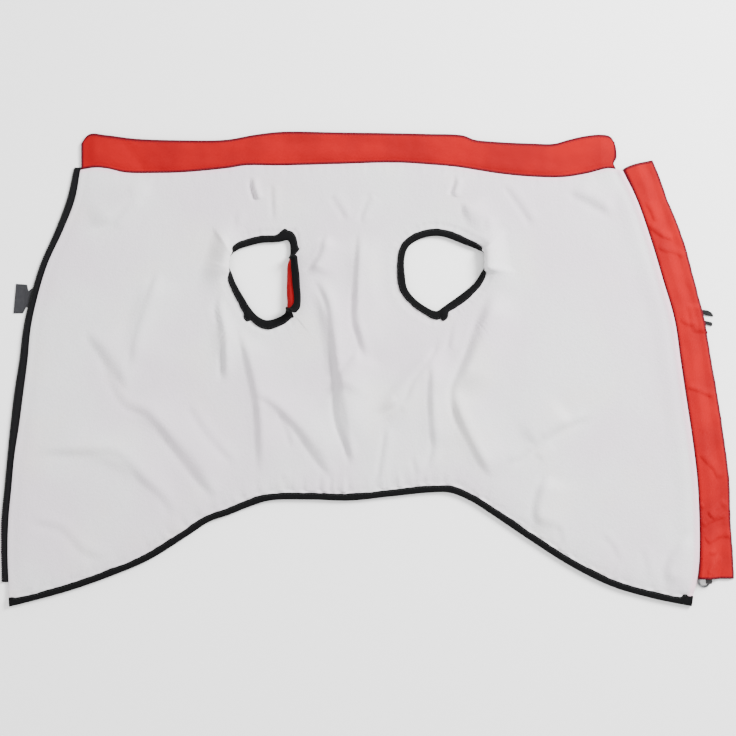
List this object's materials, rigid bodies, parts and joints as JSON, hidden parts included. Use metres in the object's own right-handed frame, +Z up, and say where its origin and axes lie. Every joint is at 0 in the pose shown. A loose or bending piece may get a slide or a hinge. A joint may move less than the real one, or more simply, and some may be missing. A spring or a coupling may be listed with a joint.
{
  "type": "dog winter coat",
  "caption": "Dog's zip-up winter coat laid open and flat with its fleece lining up, with bound leg holes, a zip guard and a ring pull.",
  "frame": {"origin": "middle of the coat's box, on the floor that it lies on", "axes": "+X across the opened coat towards the front that carries the slider, +Y towards the collar, +Z up out of the lining"},
  "size_m": [0.8052, 0.5218, 0.0168],
  "materials": {
    "shell_cloth": "plain red woven polyester, matte",
    "fleece": "white short-pile fleece",
    "binding": "black bias binding, stitched",
    "zip_tape": "black woven zip tape with a nylon coil",
    "zip_metal": "grey plated metal",
    "zip_plastic": "black moulded plastic",
    "grey_webbing": "dark grey ribbed webbing",
    "black_webbing": "black webbing"
  },
  "bodies": {
    "coat": {"shell_body": "shell_cloth", "lining_body": "fleece", "collar_band": "shell_cloth", "hem_binding": "binding", "leg_binding_left": "binding", "leg_binding_right": "binding", "zip_left": "zip_tape", "zip_right": "zip_tape", "zip_guard": "shell_cloth", "slider": "zip_metal", "retainer_box": "zip_plastic", "side_tab": "grey_webbing", "tab_end_upper": "black_webbing", "tab_end_lower": "black_webbing"},
    "ring": {"pull_ring": "zip_metal"}
  },
  "joints": [
    {"name": "pull_ring_swing", "type": "hinge", "parent": "coat", "child": "ring", "pos_m": [0.3707, -0.2272, 0.00195], "axis": [1, 0, 0], "range_deg": [0, 150]}
  ]
}
